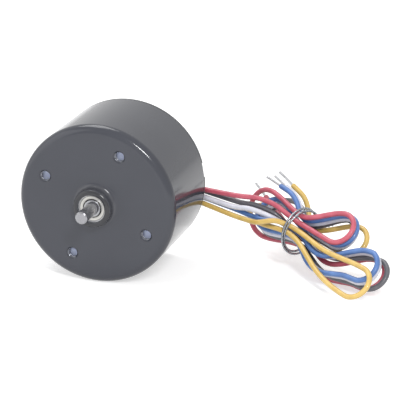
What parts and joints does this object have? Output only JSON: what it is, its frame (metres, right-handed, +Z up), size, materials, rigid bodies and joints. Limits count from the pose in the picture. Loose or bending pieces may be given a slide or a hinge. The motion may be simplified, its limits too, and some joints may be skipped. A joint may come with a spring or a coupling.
{
  "type": "brushless dc motor",
  "caption": "Small inner-rotor brushless motor: gloss black can with a bearing boss, face screw holes, plain round shaft and a tied hank of leads.",
  "frame": {"origin": "on the shaft's axis, in the plane of the mounting face", "axes": "the shaft points along -Y out of the mounting face, +Z is up, the leads leave towards +X"},
  "size_m": [0.0946, 0.0577, 0.042],
  "materials": {
    "can": "gloss black enamel",
    "cover": "gloss black enamel",
    "grommet": "soft black rubber",
    "laminations": "stamped silicon steel sheets",
    "insulator": "moulded nylon",
    "copper": "enamelled copper wire",
    "guard": "pressed insulating board",
    "board": "solder mask",
    "board_parts": "moulded cases",
    "sensors": "moulded cases",
    "bearing_steel": "ground bearing steel",
    "shield": "pressed sheet steel",
    "spring_steel": "spring steel",
    "shaft": "ground stainless steel",
    "rotor_core": "turned steel",
    "magnet": "grey epoxy coat",
    "spacer": "turned brass",
    "cage": "pressed brass",
    "red_lead": "smooth insulation",
    "black_lead": "smooth insulation",
    "white_lead": "smooth insulation",
    "yellow_lead": "smooth insulation",
    "blue_lead": "smooth insulation",
    "tin": "tinned strands",
    "tie": "bright bare wire"
  },
  "bodies": {
    "housing": {"can": "can", "back_cover": "cover", "grommet": "grommet", "stator_core": "laminations", "front_insulator": "insulator", "rear_insulator": "insulator", "coils": "copper", "coil_guard": "guard", "circuit_board": "board", "board_parts": "board_parts", "sensors": "sensors", "front_outer_ring": "bearing_steel", "rear_outer_ring": "bearing_steel", "front_shields": "shield", "rear_shields": "shield", "wave_washer": "spring_steel", "lead_red": "red_lead", "lead_black": "black_lead", "lead_white": "white_lead", "lead_yellow": "yellow_lead", "lead_blue": "blue_lead", "tinned_ends": "tin", "wire_tie": "tie"},
    "rotor": {"shaft": "shaft", "rotor_core": "rotor_core", "magnet": "magnet", "front_spacer": "spacer", "rear_spacer": "spacer", "front_inner_ring": "bearing_steel", "rear_inner_ring": "bearing_steel"},
    "front_cage_set": {"front_cage": "cage", "front_balls": "bearing_steel"},
    "rear_cage_set": {"rear_cage": "cage", "rear_balls": "bearing_steel"}
  },
  "joints": [
    {"name": "rotor_spin", "type": "hinge", "parent": "housing", "child": "rotor", "pos_m": [0, 0, 0], "axis": [0, -1, 0], "continuous": true},
    {"name": "front_cage_spin", "type": "hinge", "parent": "housing", "child": "front_cage_set", "pos_m": [0, 0, 0], "axis": [0, -1, 0], "continuous": true},
    {"name": "rear_cage_spin", "type": "hinge", "parent": "housing", "child": "rear_cage_set", "pos_m": [0, 0, 0], "axis": [0, -1, 0], "continuous": true}
  ],
  "couplings": [
    {"joint": "front_cage_spin", "follows": "rotor_spin", "ratio": 0.357},
    {"joint": "rear_cage_spin", "follows": "rotor_spin", "ratio": 0.357}
  ]
}
